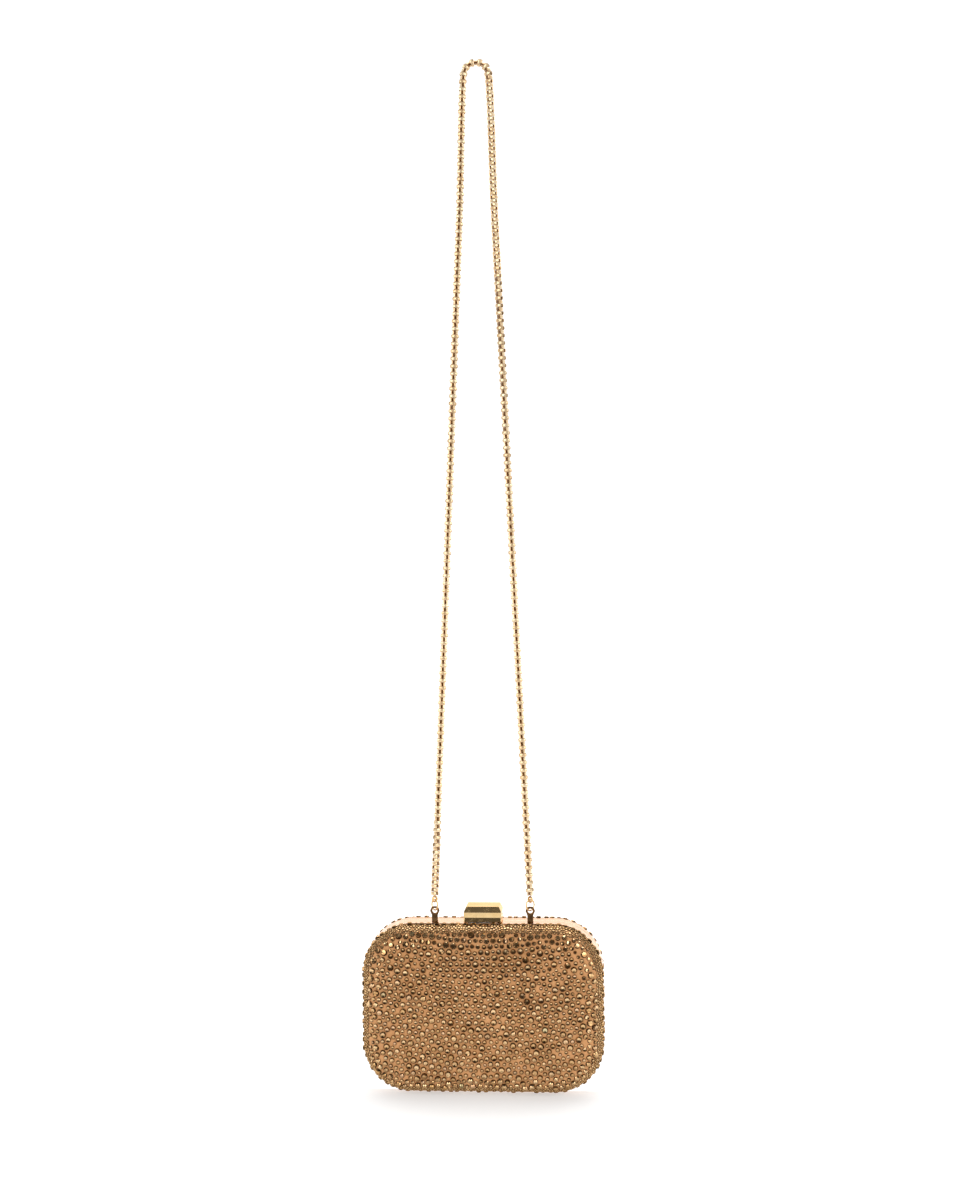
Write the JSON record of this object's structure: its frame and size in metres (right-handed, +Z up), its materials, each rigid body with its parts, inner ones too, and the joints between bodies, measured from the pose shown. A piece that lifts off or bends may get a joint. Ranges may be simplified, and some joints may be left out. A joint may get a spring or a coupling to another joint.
{
  "type": "evening bag",
  "caption": "Hard two-part evening clutch with domed stone-set faces, a metal frame, a bottom hinge, a flap clasp on top and a long slim chain strap.",
  "frame": {"origin": "outer top of the chain strap, where the bag is hung up, in the plane of the two chain tabs", "axes": "+Z up; +X along the case's length, to the right seen from the front; -Y towards the front"},
  "size_m": [0.167, 0.048, 0.7176],
  "materials": {
    "yellow_gold": "polished yellow-gold plating",
    "rose_gold": "mirror-polished pale rose-gold plating",
    "cover_fabric": "tan satin suede with flat-back stones glued on",
    "stone": "faceted champagne glass with foil back",
    "shell_board": "moulded shell, unseen",
    "lining_fabric": "satin lining",
    "steel": "plain bright steel",
    "magnet": "nickel-plated magnet"
  },
  "bodies": {
    "strap": {"strap_chain": "yellow_gold", "chain_end_left": "yellow_gold", "chain_end_right": "yellow_gold"},
    "front_half": {"front_frame": "rose_gold", "front_cover": "cover_fabric", "front_shell": "shell_board", "front_lining": "lining_fabric", "hinge_leaf_front_left": "rose_gold", "hinge_leaf_front_right": "rose_gold", "hinge_pin_left": "steel", "hinge_pin_right": "steel", "chain_tab_left": "yellow_gold", "chain_tab_right": "yellow_gold", "tab_rivet_left": "yellow_gold", "tab_rivet_right": "yellow_gold", "strike_plate": "steel"},
    "back_half": {"back_frame": "rose_gold", "back_cover": "cover_fabric", "back_shell": "shell_board", "back_lining": "lining_fabric", "slip_pocket": "lining_fabric", "hinge_leaf_back_left": "rose_gold", "hinge_leaf_back_right": "rose_gold", "clasp_bracket": "steel", "clasp_pin": "steel", "bracket_rivet_left": "steel", "bracket_rivet_right": "steel"},
    "flap": {"clasp_flap": "yellow_gold", "clasp_magnet": "magnet"},
    "ring_left": {"jump_ring_left": "yellow_gold"},
    "ring_right": {"jump_ring_right": "yellow_gold"}
  },
  "joints": [
    {"name": "bag_swing", "type": "hinge", "parent": "strap", "child": "front_half", "pos_m": [0, 0, -0.58375], "axis": [1, 0, 0], "range_deg": [-55, 55]},
    {"name": "case_open", "type": "hinge", "parent": "front_half", "child": "back_half", "pos_m": [0, 0.0097, -0.7163], "axis": [-1, 0, 0], "range_deg": [0, 95]},
    {"name": "clasp_lift", "type": "hinge", "parent": "back_half", "child": "flap", "pos_m": [0, 0.0163, -0.5956], "axis": [-1, 0, 0], "range_deg": [0, 45]},
    {"name": "ring_left_turn", "type": "hinge", "parent": "front_half", "child": "ring_left", "pos_m": [-0.0332, 0, -0.58745], "axis": [0, 0, 1], "range_deg": [-18, 15]},
    {"name": "ring_right_turn", "type": "hinge", "parent": "front_half", "child": "ring_right", "pos_m": [0.0332, 0, -0.58745], "axis": [0, 0, 1], "range_deg": [-10, 25]}
  ]
}
